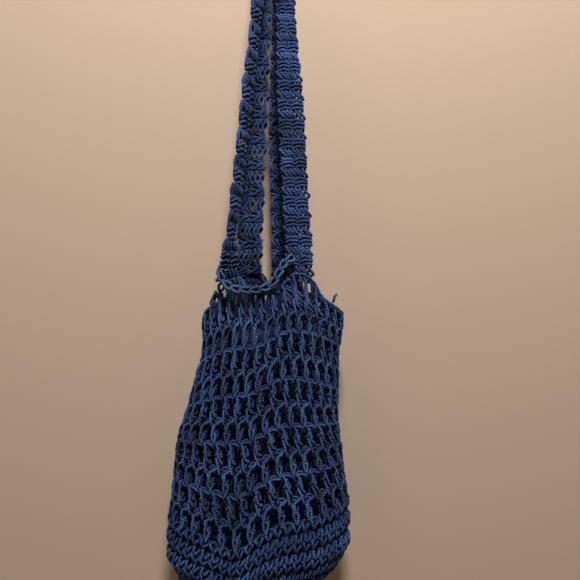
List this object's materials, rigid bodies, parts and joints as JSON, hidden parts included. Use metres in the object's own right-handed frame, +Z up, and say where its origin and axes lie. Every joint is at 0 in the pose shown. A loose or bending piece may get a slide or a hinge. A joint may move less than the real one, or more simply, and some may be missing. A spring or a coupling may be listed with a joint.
{
  "type": "crocheted mesh bag",
  "caption": "Hanging crocheted cord bag with an open mesh body, a dense oval base and two long shoulder straps.",
  "frame": {"origin": "inner top of the strap bends, where a hook or peg carries the bag", "axes": "+Z up along the hanging straps, +X to the right of the front, -Y towards the front"},
  "size_m": [0.19, 0.0894, 0.7106],
  "materials": {
    "strap_cord": "matte twisted cotton cord",
    "edging_cord": "matte twisted cotton cord",
    "mesh_cord": "matte twisted cotton cord",
    "base_cord": "matte twisted cotton cord"
  },
  "bodies": {
    "yoke": {"left_strap_top": "strap_cord", "right_strap_top": "strap_cord", "front_left_strap": "strap_cord", "back_left_strap": "strap_cord", "front_right_strap": "strap_cord", "back_right_strap": "strap_cord", "front_neckline": "edging_cord", "back_neckline": "edging_cord", "left_side_rim": "edging_cord", "right_side_rim": "edging_cord", "cord_tail": "edging_cord", "mesh_round_10": "mesh_cord"},
    "upper_body": {"mesh_round_9": "mesh_cord", "mesh_round_8": "mesh_cord", "mesh_round_7": "mesh_cord"},
    "lower_body": {"mesh_round_6": "mesh_cord", "mesh_round_5": "mesh_cord", "mesh_round_4": "mesh_cord", "mesh_round_3": "mesh_cord", "mesh_round_2": "mesh_cord"},
    "base": {"mesh_round_1": "mesh_cord", "base_ridge_1": "base_cord", "base_ridge_2": "base_cord", "base_ridge_3": "base_cord", "base_corner": "base_cord", "base_oval": "base_cord"}
  },
  "joints": [
    {"name": "body_swing", "type": "hinge", "parent": "yoke", "child": "upper_body", "pos_m": [0, 0, -0.4163], "axis": [1, 0, 0], "range_deg": [-25, 25], "deforming": ["mesh_round_9"]},
    {"name": "body_fold", "type": "hinge", "parent": "upper_body", "child": "lower_body", "pos_m": [0, 0, -0.4889], "axis": [1, 0, 0], "range_deg": [-30, 30], "deforming": ["mesh_round_6"]},
    {"name": "base_tilt", "type": "hinge", "parent": "lower_body", "child": "base", "pos_m": [0, 0, -0.6099], "axis": [1, 0, 0], "range_deg": [-22, 22], "deforming": ["mesh_round_1"]}
  ]
}
